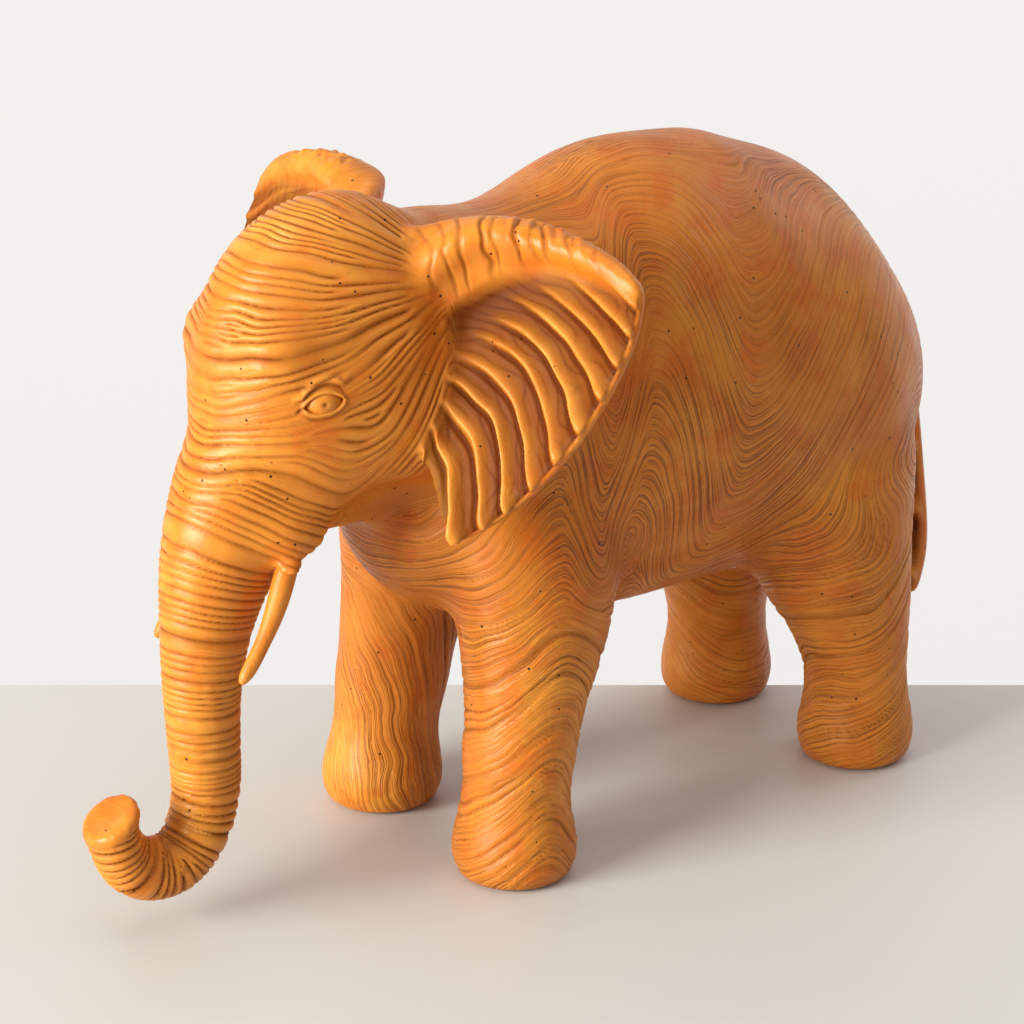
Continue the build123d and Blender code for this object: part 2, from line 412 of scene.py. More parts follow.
def subdivided(points, quads, levels):
    """Catmull-Clark subdivision."""
    mesh = new_mesh("skin", points, quads)
    thing = new_object("skin", mesh)
    modifier = thing.modifiers.new("subdivision", "SUBSURF")
    modifier.levels = levels
    fine = thing.evaluated_get(bpy.context.evaluated_depsgraph_get()).to_mesh()
    points = np.empty(3 * len(fine.vertices), np.float32)
    fine.vertices.foreach_get("co", points)
    corners = np.empty(len(fine.loops), np.int32)
    fine.loops.foreach_get("vertex_index", corners)
    bpy.data.objects.remove(thing)
    bpy.data.meshes.remove(mesh)
    return points.reshape(-1, 3).astype(float), corners.reshape(-1, 4).astype(np.int64)


def skin_mesh(voxel, levels, wanted):
    """The part of the skin near where wanted(points) is below zero: points and quads."""
    coarse = field
    values = skin
    if voxel != field.voxel:
        low = field.low * field.voxel
        coarse = Field(low + 2, low + np.array(field.shape) * field.voxel - 4, voxel)
        grid = np.stack(np.broadcast_arrays(coarse.x, coarse.y, coarse.z), -1).reshape(-1, 3)
        values = field.sample(skin, grid).reshape(coarse.shape).astype(np.float32)
    points, quads = coarse.to_mesh(values)
    points, quads = points.astype(float), quads.astype(int)
    for _ in range(2):
        points -= (field.normals(skin, points).T * field.sample(skin, points)).T
    inside = wanted(points) < 3 * voxel
    quads = quads[inside[quads].any(axis=1)]
    used, quads = np.unique(quads, return_inverse=True)
    return subdivided(points[used], quads.reshape(-1, 4), levels)


def clipped(rows, triangles, side):
    """The part of a triangle mesh where side is below zero, clipped cleanly along side = 0."""
    inside = side[triangles] < 0
    count = inside.sum(axis=1)
    whole = triangles[count == 3]
    crossed = (count == 1) | (count == 2)
    alone = count[crossed] == 1
    first = np.argmax(inside[crossed] == alone[:, None], axis=1)
    order = (first[:, None] + np.arange(3)) % 3
    a, b, c = np.take_along_axis(triangles[crossed], order, axis=1).T

    pairs = np.concatenate([np.stack([a, b], 1), np.stack([a, c], 1)])
    pairs.sort(axis=1)
    keys, back = np.unique(pairs[:, 0] * len(rows) + pairs[:, 1], return_inverse=True)
    low, high = keys // len(rows), keys % len(rows)
    share = (side[low] / (side[low] - side[high]))[:, None]
    rows = np.concatenate([rows, rows[low] * (1 - share) + rows[high] * share])
    ab, ac = back.reshape(2, -1) + len(side)

    corner = np.stack([a, ab, ac], 1)[alone]
    strip = np.concatenate([np.stack([ab, b, c], 1)[~alone], np.stack([ab, c, ac], 1)[~alone]])
    triangles = np.concatenate([whole, corner, strip])
    used, triangles = np.unique(triangles, return_inverse=True)
    return rows[used], triangles.reshape(-1, 3)


# -------- where things are

def trunk_samples():
    """Points a millimetre apart on the trunk's centre line, their directions and their lengths along it."""
    line = TRUNK_LINE
    step = np.linalg.norm(np.diff(line, axis=0), axis=1)
    length = np.concatenate([[0], np.cumsum(step)])
    slope = np.gradient(line, length, axis=0)
    along = np.arange(0, length[-1], 1.0)
    span = np.clip(np.searchsorted(length, along, side="right") - 1, 0, len(line) - 2)
    width = step[span][:, None]
    t = ((along - length[span]) / step[span])[:, None]
    ahead = 3 * t ** 2 - 2 * t ** 3
    place = (1 - ahead) * line[span] + ahead * line[span + 1]
    place += width * ((t ** 3 - 2 * t ** 2 + t) * slope[span] + (t ** 3 - t ** 2) * slope[span + 1])
    length = np.concatenate([[0], np.cumsum(np.linalg.norm(np.diff(place, axis=0), axis=1))])
    return place, unit(np.gradient(place, axis=0)), length


TRUNK_PLACE, TRUNK_DIRECTION, TRUNK_LENGTH = trunk_samples()


def along_trunk(points):
    """How far along the trunk's centre line each point is, in mm from inside the head."""
    flat = points[:, [0, 2]]
    x, z = np.ascontiguousarray(flat.T)
    best = np.full(len(points), np.inf)
    nearest = np.zeros(len(points), int)
    for k, place in enumerate(TRUNK_PLACE[::2]):
        distance = (x - place[0]) ** 2 + (z - place[1]) ** 2
        closer = distance < best
        best[closer] = distance[closer]
        nearest[closer] = 2 * k
    offset = ((flat - TRUNK_PLACE[nearest]) * TRUNK_DIRECTION[nearest]).sum(axis=1)
    return TRUNK_LENGTH[nearest] + offset


EYE_LENGTH = along_trunk(EYE[None])[0]


EAR_STEPS = 150
EAR_MARGIN = 0.08  # how far the grid goes past the sheet's edges, in u and v


def ear_sheet(right):
    """A dense grid over an ear's front face: places, and their u (root to edge) and v (top to lobe)."""
    steps = np.linspace(-EAR_MARGIN, 1 + EAR_MARGIN, EAR_STEPS)
    places = np.einsum("ai,bj,ijk->abk", bezier(steps), bezier(steps), EAR_NET)
    u, v = np.meshgrid(steps, steps, indexing="ij")
    places = places.reshape(-1, 3)
    if right:
        places = turned_ear(places * [1, -1, 1])
    return places, u.ravel(), v.ravel()


def on_ear(points, normals, right):
    """u, v, the height in front of the sheet and how squarely the skin faces forward, for each point."""
    places, u, v = ear_sheet(right)
    tree = KDTree(len(places))
    for k, place in enumerate(places):
        tree.insert(place, k)
    tree.balance()
    nearest = np.array([tree.find(point)[1] for point in points])
    grid = places.reshape(EAR_STEPS, EAR_STEPS, 3)
    step = (1 + 2 * EAR_MARGIN) / (EAR_STEPS - 1)
    along_u = (np.gradient(grid, axis=0) / step).reshape(-1, 3)[nearest]
    along_v = (np.gradient(grid, axis=1) / step).reshape(-1, 3)[nearest]
    front = unit(np.cross(along_u, along_v))
    front *= np.sign(front[:, :1])
    offset = points - places[nearest]
    du = (offset * along_u).sum(1) / (along_u ** 2).sum(1)
    dv = (offset * along_v).sum(1) / (along_v ** 2).sum(1)
    height, facing = (offset * front).sum(1), (normals * front).sum(1)
    return u[nearest] + np.clip(du, -step, step), v[nearest] + np.clip(dv, -step, step), height, facing


# -------- the grain's run

# The grain's waves along the body: x, and how high the crest (1) or trough (-1) is
BODY_WAVES = [(150, 0.0), (95, -0.5), (60, 0.62), (44, -0.35), (32, 1.0), (-5, -1.0), (-90, 1.6), (-130, 1.3)]


def eased(keys, value):
    """A smooth wave through the keys, level at each of them."""
    keys = sorted(keys)
    total = np.full(len(value), float(keys[0][1]))
    for (x0, y0), (x1, y1) in zip(keys, keys[1:]):
        total += (y1 - y0) * smoothstep(x0, x1, value)
    return total


def body_run(points):
    """Lines along the body that swing up and down its side, bent over the back and under the belly."""
    x, y, z = points.T
    side = np.abs(y) / 50
    over = 150 + 56 * np.arctan2((z - 150) / 58, side)
    under = 90 - 44 * np.arctan2((90 - z) / 42, side)
    girth = np.where(z > 150, over, np.where(z < 90, under, z))
    height = 34 - 30 * smoothstep(165, 232, girth) - 18 * smoothstep(110, 60, girth)
    return girth - height * eased(BODY_WAVES, x + 0.12 * (girth - 130))


def leg_run(points, front, left):
    """Arches round the left front leg, lines up the right front leg, and waves round the hind legs."""
    x, y, z = points.T
    centre_x = FOOT_X - 0.12 * z if front else -FOOT_X + 0.11 * z
    centre_y = (FOOT_Y - 0.05 * z) * (1 if left else -1)
    around = np.arctan2(y - centre_y, x - centre_x)
    if front and left:
        return z - 22 / np.cosh((around - 1.4) / 0.6)
    if front:
        return 15 * around + 0.3 * z
    if left:
        return z - 14 * np.sin(around - 0.9) - 5 * np.cos(2 * around)
    return z * 0.8 + 10 * np.sin(around)


def on_leg(points, front, left):
    """How far a point belongs to a leg, 0 to 1."""
    x, y, z = points.T
    reach = np.hypot(x - (63 if front else -63), 0.8 * (y - (30 if left else -30)))
    return smoothstep(108, 72, z) * smoothstep(46, 30, reach)


def on_head(points):
    """How far a point belongs to the head and trunk, 0 to 1."""
    x, y, z = points.T
    face = smoothstep(84, 92, x) * smoothstep(106, 118, z + 0.4 * (x - 120))
    return np.maximum(face, smoothstep(120, 128, x))


def head_run(points):
    """Fans from the ear's root over the crown, sags across the cheek, and becomes the trunk's rings."""
    x, y, z = points.T
    root_x, root_z = 85.0, 185.0
    turn = np.arctan2(z - root_z, x - root_x)
    eye_turn = math.atan2(EYE[2] - root_z, EYE[0] - root_x)
    upper = 60 * (turn - eye_turn)
    below = EYE[2] + (x - EYE[0]) * math.tan(eye_turn) - z
    sag = 20 * (((x - 118) / 21) ** 2 - 0.5) * smoothstep(1, 22, below)
    cheek = -0.95 * below - np.clip(sag, -12, 14)
    length = along_trunk(points)
    rings = EYE_LENGTH - length
    share = smoothstep(EYE_LENGTH, EYE_LENGTH + 24, length) * smoothstep(112, 130, x)
    lower = cheek * (1 - share) + rings * share
    band = 2.5 + 11 * smoothstep(122, 142, x)
    share = smoothstep(1, -1, below / band)
    share = np.where(x < 92, 1.0, share)
    return share * upper + (1 - share) * lower


def grain_run(points):
    """A number that changes by one for each millimetre across the grain, more or less."""
    x, y, z = points.T
    run = body_run(points)
    for front, left in LEGS:
        share = on_leg(points, front, left)
        run = run * (1 - share) + share * leg_run(points, front, left)
    share = on_head(points)
    run = run * (1 - share) + share * head_run(points)
    face = smoothstep(90, 100, x) * smoothstep(106, 118, z)
    calm = np.maximum(smoothstep(140, 100, z) * smoothstep(125, 135, x), 0.35 * face)
    wander = 1.3 * waves(points, 42, 1) + 0.5 * waves(points, 14, 2)
    return run + wander * (1 - 0.8 * calm)


def with_steepness(run_of, points, normals):
    """The grain's run at the points, and how fast it changes across the skin there."""
    run = run_of(points)
    slope = np.stack([(run_of(points + 0.4 * axis) - run) / 0.4 for axis in np.eye(3)], 1)
    slope -= normals * (slope * normals).sum(1)[:, None]
    return run, np.clip(np.linalg.norm(slope, axis=1), 0.25, 8)


def cut_lines(run, steepness, spacing, seed):
    """Heights of carved lines about spacing apart: 0 at the bottom of each groove, 1 on the ridge between."""
    turns = run / spacing
    run = run + spacing * (0.45 * np.sin(turns * 0.61 + seed) + 0.3 * np.sin(turns * 1.37 + 2 * seed))
    level = np.log2(steepness)
    octave = np.floor(level)
    share = smoothstep(0.35, 0.65, level - octave)
    heights = [np.abs(np.sin(np.pi * run / (spacing * 2 ** (octave + k)))) for k in (0, 1)]
    return heights[0] * (1 - share) + heights[1] * share


# -------- carving

# Where the ribs cross the middle of an ear, from the rolled rim to the front edge
RIB_PLACES = (0.06, 0.15, 0.24, 0.33, 0.42, 0.505, 0.61, 0.71, 0.81, 0.93, 1.03)

# Creases across the rolled rim: how far out, and how deep
CREASES = ((0.06, 0.4), (0.13, 0.5), (0.20, 0.7), (0.31, 1.0), (0.35, 0.5),
           (0.45, 1.0), (0.53, 0.6), (0.58, 0.9), (0.70, 0.6), (0.83, 0.3))
CREASE_WIDTH = 0.011


def rib_positions(u, v, points):
    """Where each point is across the ribs, a number that is whole on each rib, and how strong the rib is."""
    bend = np.interp(v, (0, 0.2, 0.38, 0.6, 0.9, 1), (0.3, 0.42, 0.62, 1.1, 0.9, 0.6))
    across = v - 0.085 * bend * smoothstep(0.45, 1.0, u)
    across += 0.05 * smoothstep(0.35, 0.1, u) * smoothstep(0.7, 0.95, v)
    across += 0.003 * waves(points, 24, 5)
    position = np.interp(across, RIB_PLACES, np.arange(len(RIB_PLACES)))
    start = np.interp(across, (0.15, 0.33, 0.6, 0.93), (0.6, 0.36, 0.16, 0.0))
    return across, position, smoothstep(start, start + 0.3, u)


def ear_carving(points, normals, right):
    """On an ear: how far to move out, how dark with stain and painted shade, how light with a painted
    highlight, and the grain's run.

    The right ear shows little of its face, so its ribs and creases are shallow.
    """
    u, v, height, facing = on_ear(points, normals, right)
    depth_here = 0.3 if right else 1.0
    front = smoothstep(0.25, 0.75, facing)
    edge = 0.62 * np.exp(-2.4 * np.clip(u, 0, 1))
    open_face = smoothstep(edge - 0.02, edge + 0.07, v)
    across, position, strength = rib_positions(u, v, points)
    nearest = np.round(position)
    offset = position - nearest + 0.03 * waves(points, 11, 6)
    strength = strength * open_face * (0.8 + 0.35 * random_of(nearest, 3.0)) * depth_here
    rib = bump(offset, np.where(offset > 0, 0.1, 0.2)) * strength
    beside = bump(offset - 0.25, 0.1) * strength
    valley = (1 - bump(offset, 0.3)) * strength
    front_roll = bump(v - 1.0, 0.045) * smoothstep(0.0, 0.2, u)
    streak = np.abs(np.sin(np.pi * (position * 2.3 + 0.5 * waves(points, 16, 8))))
    hollow = open_face * smoothstep(edge + 0.35, edge + 0.05, v) * smoothstep(0.75, 0.3, u)
    out = front * (1.9 * rib - 0.2 * valley - 0.5 * beside + 1.1 * front_roll - 1.6 * hollow)

    crease = np.zeros(len(points))
    for number, (place, depth) in enumerate(CREASES):
        wobble = place + 0.2 * (v - 0.05) + 0.01 * waves(points, 9, 50 + number)
        crease += depth * bump(u - wobble, CREASE_WIDTH)
    crease *= smoothstep(edge + 0.03, edge - 0.08, v) * smoothstep(-0.2, 0.4, facing) * depth_here
    rough = bump(v, 0.06) * smoothstep(0.35, 0.45, u) * smoothstep(0.85, 0.7, u)
    out += -0.75 * crease + 0.3 * rough * waves(points, 3.2, 15)
    # Painted shade: the ear's open front face is darkened all over. It is darker still in the valleys, in the
    # hollow near the root and in the line beside each rib, which are painted shadows, and less dark on the
    # ribs.
    stain_and_painted_shade = front * open_face * (0.68 + 0.2 * valley + 0.4 * beside + 0.3 * hollow - 0.75 * rib)
    # Thin streaks between the ribs, and the rolled rim's creases darkened with stain and painted shade
    stain_and_painted_shade += front * open_face * 0.16 * (1 - streak) ** 3 + 0.55 * crease
    if right:
        rings = cut_lines(95 * (1 - u) + 30 * v * v, np.ones(len(points)), 3.0, 5.0)
        out -= 0.1 * (1 - rings)
        stain_and_painted_shade += 0.12 * (1 - rings) ** 2
    # Painted highlight on the ribs' ridges and the front roll
    painted_highlight_and_pale_tone = np.clip(front * (0.6 * rib + 0.4 * front_roll), 0, 1)
    return out, np.clip(stain_and_painted_shade, 0, 1), painted_highlight_and_pale_tone, across * 60 + 8 * height * (1 - front)


EYE_TILT = 6  # degrees, by which the back corner is raised


def eye_frame():
    """The skin's place and normal at the left eye, and the directions to the eye's back corner and up."""
    place = EYE.copy()[None]
    for _ in range(4):
        place = place - field.normals(body, place) * field.sample(body, place)[:, None]
    normal = field.normals(body, place)[0]
    up = np.array([0, 0, 1.0]) - normal * normal[2]
    up /= np.linalg.norm(up)
    back = np.cross(normal, up)
    back *= -np.sign(back[0])
    tilt = math.radians(EYE_TILT)
    tilted_back = back * math.cos(tilt) + up * math.sin(tilt)
    tilted_up = up * math.cos(tilt) - back * math.sin(tilt)
    return place[0], normal, tilted_back, tilted_up


EYE_PLACE, EYE_NORMAL, EYE_BACK, EYE_UP = eye_frame()
LID_LENGTH = 5.7
LID_HEIGHT = 2.6


def eye_carving(points):
    """At the eyes: how far to move out, how dark with stain and painted shade, how light with a painted
    highlight, and how free of folds.
    """
    mirrored = points * [1, 0, 1] + np.abs(points) * [0, 1, 0]
    offset = mirrored - EYE_PLACE
    back, up = offset @ EYE_BACK, offset @ EYE_UP
    t = np.clip(back / LID_LENGTH, -1.6, 1.6)
    reach = np.abs(t)
    arch = np.clip(1 - t ** 2, 0, 1)
    upper = LID_HEIGHT * arch ** 0.8 + 0.25 * t
    lower = -LID_HEIGHT * 0.85 * arch ** 0.8 + 0.25 * t
    inside = np.minimum(upper - up, up - lower)
    inside = np.where(reach > 1, -3 * (reach - 1) - np.abs(up), inside)
    near = smoothstep(16, 8, np.linalg.norm(offset, axis=1))
    socket = smoothstep(-0.15, 0.7, inside) * near
    lid = bump(inside + 0.75, 0.75) * near * smoothstep(1.25, 0.9, reach)
    crease_above = bump(up - upper - 2.6 - 0.5 * t, 0.55) * near * smoothstep(1.5, 0.8, reach)
    fold_above = bump(up - upper - 4.1 - 0.8 * t, 1.2) * near * smoothstep(1.7, 0.9, reach)
    crease_below = bump(up - lower + 2.3, 0.5) * near * smoothstep(1.2, 0.6, reach)
    tear = bump(up - 2.7 * (t + 1) + 0.3, 0.55) * near
    tear *= smoothstep(-0.95, -1.05, t) * smoothstep(-1.55, -1.2, t)
    out = -1.9 * socket + 1.0 * lid - 0.6 * crease_above + 1.1 * fold_above - 0.45 * crease_below - 0.6 * tear
    edge = bump(inside - 0.25, 0.3) * near
    # Darker round the eye's creases, tear line and lid edge: partly stain, partly painted shade
    stain_and_painted_shade = np.clip(0.6 * crease_above + 0.5 * crease_below + 0.7 * tear + 0.4 * edge, 0, 1)
    # Lighter on the lids and the fold above them: a painted highlight
    painted_highlight_and_pale_tone = np.clip(lid + 0.5 * fold_above, 0, 1)
    quiet = near * smoothstep(-4.5, -2.0, inside)
    return out, stain_and_painted_shade, painted_highlight_and_pale_tone, quiet


# What carve() returns for each point: its place on the skin, the place it moves to, the values the material
# uses, and for each of the sides a number that is below zero where the point belongs to that node
MOVED = slice(3, 6)
# The third and fourth values colour the skin. The third darkens it: stain and painted shade in the grooves,
# and painted shade over the ears' front faces. The fourth lightens it: a painted highlight on the ridges, and
# a paler tone all over the tusks and eyes.
VALUES = ("run", "steepness", "stain_and_painted_shade", "painted_highlight_and_pale_tone", "fine")
SIDES = ("left_ear", "right_ear", "tail")
LEFT_EAR, RIGHT_EAR, TAIL = -3, -2, -1


def carve(points):
    """Everything carved into the skin, as a row for each point."""
    normals = field.normals(skin, points)
    bare = field.sample(body, points)
    x, y, z = points.T
    run, steepness = with_steepness(grain_run, points, normals)

    head = on_head(points)
    length = along_trunk(points)
    trunk = head * smoothstep(EYE_LENGTH, EYE_LENGTH + 20, length) * smoothstep(108, 128, x)
    legs = np.maximum.reduce([on_leg(points, front, left) for front, left in LEGS])
    legs = legs * (1 - head)
    torso = np.clip(1 - head - legs, 0, 1)

    patch = smoothstep(-0.9, 1.0, waves(points, 20, 11))
    fold = cut_lines(run, steepness, 2.9, 0.3) ** 0.6
    ring = cut_lines(run, np.maximum(steepness, 0.9), 2.7, 1.1) ** 0.55
    line = cut_lines(run, steepness, 2.6, 2.2)
    gouge = cut_lines(run, steepness, 4.2, 4.0) ** 0.7
    group = smoothstep(-0.25, 0.55, np.sin(run * 2 * np.pi / 14 + 0.8 * waves(points, 30, 12)))

    throat = smoothstep(133, 127, z) * smoothstep(130, 122, x)
    folds = (head - trunk) * (0.35 + 0.65 * patch) * (1 - 0.85 * throat)
    tip = smoothstep(-5, -2.5, (points - TIP) @ TIP_FACING) * smoothstep(160, 170, x) * smoothstep(60, 50, z)
    rings = trunk * (0.65 + 0.35 * patch) * (1 + 0.6 * smoothstep(50, 30, z)) * (1 - tip)
    grooves = torso * (0.3 + 0.7 * patch)
    boldness = np.where(y > 0, 0.7, 0.35)
    boldness[on_leg(points, True, True) > 0.5] = 1
    chevrons = legs * (0.35 + 0.65 * group * boldness)
    out = folds * 1.0 * (fold - 1) + rings * 0.75 * (ring - 1)
    out += grooves * 0.2 * (line - 1) + chevrons * (0.5 * (line - 1) + 0.5 * (gouge - 1))
    # Darker colour in the bottoms of the folds, rings and grooves: partly stain, partly painted shade
    stain_and_painted_shade = folds * (1 - fold) ** 1.5 + 0.9 * rings * (1 - ring) ** 1.3
    stain_and_painted_shade += 0.36 * grooves * (1 - line) ** 2 + chevrons * (0.5 * (1 - line) ** 2.5 + 0.45 * (1 - gouge) ** 2.5)
    # Lighter colour on the ridges between them: a painted highlight
    painted_highlight_and_pale_tone = folds * fold ** 3 * 0.8 + 0.5 * rings * ring ** 3 + 0.3 * chevrons * line

    eye_out, eye_stain_and_painted_shade, eye_painted_highlight, quiet = eye_carving(points)
    out = out * (1 - quiet) + eye_out
    stain_and_painted_shade = stain_and_painted_shade * (1 - quiet) + eye_stain_and_painted_shade
    painted_highlight_and_pale_tone = painted_highlight_and_pale_tone * (1 - quiet) + eye_painted_highlight

    for name in EARS:
        share = smoothstep(4.0, -2.5, beyond(name, points, bare))
        chosen = np.nonzero(share > 0)[0]
        part = share[chosen]
        carved = ear_carving(points[chosen], normals[chosen], name == "right_ear")
        for values, ear_values in zip((out, stain_and_painted_shade, painted_highlight_and_pale_tone, run), carved):
            values[chosen] = values[chosen] * (1 - part) + ear_values * part
        torso[chosen] *= 1 - part
        legs[chosen] *= 1 - part

    out = out * smoothstep(0.2, 3.0, z)
    moved = points + normals * out[:, None]
    moved[:, 2] = np.maximum(moved[:, 2], 0)
    fine = np.clip(torso + 0.8 * legs + 0.25 * head, 0, 1)
    values = [run, np.log2(steepness), np.clip(stain_and_painted_shade, 0, 1), np.clip(painted_highlight_and_pale_tone, 0, 1), fine]
    sides = [beyond(name, points, bare) for name in SIDES]
    return np.column_stack([points, moved, *values, *sides])


# -------- pieces

def add_piece(node, points, faces, values, sharp=()):
    """A carved piece in a CAD node's place, smooth but for its sharp edges."""
    name = node + "_carved"
    mesh = new_mesh(name, (points + [MIDDLE_X, 0, 0]) * MM, faces)
    mesh.shade_smooth()
    for key, column in zip(VALUES, values.T):
        mesh.attributes.new(key, "FLOAT", "POINT").data.foreach_set("value", column.astype(np.float32))
    if len(sharp):
        ends = np.empty(2 * len(mesh.edges), np.int32)
        mesh.edges.foreach_get("vertices", ends)
        weights = np.array([len(points), 1])
        keys = np.sort(ends.reshape(-1, 2).astype(np.int64), axis=1) @ weights
        marked = np.isin(keys, np.sort(sharp, axis=1) @ weights)
        mesh.attributes.new("sharp_edge", "BOOLEAN", "EDGE").data.foreach_set("value", marked)
    thing = new_object(name, mesh)
    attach(thing, "root")
    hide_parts(node)
    return thing


def vertex_normals(points, triangles):
    a, b, c = (points[triangles[:, k]] for k in range(3))
    face = np.cross(b - a, c - a)
    normals = np.zeros_like(points)
    for k in range(3):
        np.add.at(normals, triangles[:, k], face)
    return unit(normals)


def capped(rows, triangles):
    """Closes a piece across its glue faces: a lip turned in from each open edge, then a fan to its middle.

    Returns the rows and triangles, and the edges to keep sharp.
    """
    edges = np.concatenate([triangles[:, [0, 1]], triangles[:, [1, 2]], triangles[:, [2, 0]]])
    keys = np.sort(edges, axis=1) @ np.array([len(rows), 1])
    _, first, uses = np.unique(keys, return_index=True, return_counts=True)
    rim = edges[first[uses == 1]]
    if not len(rim):
        return rows, triangles, rim
    normals = vertex_normals(rows[:, MOVED], triangles)
    used, back = np.unique(rim, return_inverse=True)
    back = back.reshape(-1, 2)
    lip = rows[used].copy()
    lip[:, MOVED] -= LIP_DEPTH * normals[used]
    start = len(rows)
    lips = np.concatenate([
        np.column_stack([rim[:, 1], rim[:, 0], start + back[:, 0]]),
        np.column_stack([rim[:, 1], start + back[:, 0], start + back[:, 1]]),
    ])

    follows = dict(zip(back[:, 0], back[:, 1]))
    middles, fans = [], []
    while follows:
        loop = [next(iter(follows))]
        while loop[-1] in follows:
            loop.append(follows.pop(loop[-1]))
        middle = start + len(lip) + len(middles)
        middles.append(lip[loop].mean(axis=0))
        fans += [(middle, start + b, start + a) for a, b in zip(loop, loop[1:])]
    rows = np.concatenate([rows, lip, middles])
    return rows, np.concatenate([triangles, lips, fans]), rim


def beyond(name, points, bare):
    """Below zero where a point belongs to this ear or the tail rather than to the body."""
    x, y, z = points.T
    own = {"left_ear": y > 0, "right_ear": y < 0, "tail": x < -100}[name]
    return np.where(own, field.sample(single[name], points) - bare, BAND)


def piece(name, rows, triangles, sides):
    """Clips the skin where each of the sides is below zero, and makes what is left a closed piece."""
    for side in sides:
        rows, triangles = clipped(rows, triangles, side(rows))
    rows, triangles, sharp = capped(rows, triangles)
    values = rows[:, MOVED.stop:MOVED.stop + len(VALUES)]
    return add_piece(name, rows[:, MOVED], triangles, values, sharp)


# The axes' columns in a row
X, Y, Z = 0, 1, 2


def more_than(column, place=0.0):
    """A side that keeps what is above the place in this column, for piece()."""
    return lambda rows: place - rows[:, column]


def less_than(column, place=0.0):
    return lambda rows: rows[:, column] - place


def not_ear(rows):
    return -np.minimum(rows[:, LEFT_EAR], rows[:, RIGHT_EAR])


def behind_neck(rows):
    return np.minimum(rows[:, X] - NECK_JOINT_X, rows[:, Z] - CHIN_Z)


def ahead_of_neck(rows):
    return -np.minimum(rows[:, X] - NECK_JOINT_X, rows[:, Z] - CHIN_Z * (rows[:, X] < TRUNK_BACK_X))


def not_trunk(rows):
    return np.where(rows[:, X] > TRUNK_BACK_X, TRUNK_JOINT_Z - rows[:, Z], -BAND)


def body_pieces():
    """The torso, legs and tail."""
    def wanted(points):
        return np.maximum(behind_neck(points), points[:, X] - CHEST_X)

    points, quads = skin_mesh(SKIN_VOXEL, 1, wanted)
    rows, triangles = carve(points), quads_to_triangles(quads)
    not_tail = more_than(TAIL)
    pieces = [
        piece("torso", rows, triangles, [
            more_than(Z, LEG_JOINT_Z), less_than(X, CHEST_X), not_ear, not_tail, behind_neck,
        ]),
        piece("tail", rows, triangles, [less_than(TAIL)]),
    ]
    for name in LEG_NODES:
        ahead = less_than(X) if name.startswith("hind") else more_than(X)
        aside = more_than(Y) if "left" in name else less_than(Y)
        pieces.append(piece(name, rows, triangles, [less_than(Z, LEG_JOINT_Z), ahead, aside, not_tail]))
    return pieces


def head_pieces():
    """The head, trunk and ears."""
    def wanted(points):
        ears = np.minimum(field.sample(single["left_ear"], points), field.sample(single["right_ear"], points))
        x, y, z = points.T
        head = np.maximum(NECK_JOINT_X - x, np.minimum(CHIN_Z - z, FACE_X - x))
        return np.minimum(ears - 2, head)

    points, quads = skin_mesh(HEAD_VOXEL, 2, wanted)
    rows, triangles = carve(points), quads_to_triangles(quads)
    return [
        piece("head", rows, triangles, [ahead_of_neck, not_trunk, not_ear]),
        piece("trunk", rows, triangles, [less_than(Z, TRUNK_JOINT_Z), more_than(X, TRUNK_BACK_X)]),
        piece("left_ear", rows, triangles, [less_than(LEFT_EAR)]),
        piece("right_ear", rows, triangles, [less_than(RIGHT_EAR)]),
    ]


def smooth_piece(name, voxel=0.7, level=0.0):
    """A CAD node's own shape, softened and given fine faces."""
    points, triangles = cad_mesh(name)
    block = Field(points.min(0) - 4, points.max(0) + 4, voxel)
    values = block.from_mesh(points, triangles, band=5 * voxel)
    points, quads = block.to_mesh(blurred(values, 1) + level)
    return subdivided(points.astype(float), quads.astype(int), 1)


def tusk(name):
    """A tusk, drawn in a little."""
    points, quads = smooth_piece(name, level=0.6)
    x, y, z = points.T
    run = 1.2 * y + 0.9 * x + 0.35 * z + 0.5 * waves(points, 9, 31)
    zero = np.zeros(len(points))
    # The tusks are a little paler all over, through the value that gives the painted highlight elsewhere
    return add_piece(name, points, quads, np.column_stack([run, zero, zero, 0.3 + zero, 0.35 + zero]))


def eyeball(name):
    """An eyeball, stretched towards its corners, with a pit for its pupil."""
    points, quads = smooth_piece(name)
    side = 1 if name.startswith("left") else -1
    normal = EYE_NORMAL * [1, side, 1]
    centre = EYE * [1, side, 1]
    offset = points - centre
    away = offset @ normal
    aside = np.linalg.norm(offset - away[:, None] * normal, axis=1)
    pit = bump(aside, 0.6) * (away > 0)
    points = points - 0.6 * pit[:, None] * normal
    back = EYE_BACK * [1, side, 1]
    points = points + 0.3 * (offset @ back)[:, None] * back + 0.35 * normal
    zero = np.zeros(len(points))
    # The pupil's pit is darkened, and the whole eyeball is a little paler
    return add_piece(name, points, quads, np.column_stack([points[:, 2], zero, pit, 0.5 + zero, zero]))


carved_pieces = body_pieces() + head_pieces()
smooth_pieces = [tusk("left_tusk"), tusk("right_tusk"), eyeball("left_eye"), eyeball("right_eye")]


# -------- materials

def srgb(*colour):
    """A colour as nodes want it, from red, green and blue out of 255."""
    shares = [c / 255 for c in colour]
    return tuple(c / 12.92 if c <= 0.04045 else ((c + 0.055) / 1.055) ** 2.4 for c in shares) + (1.0,)


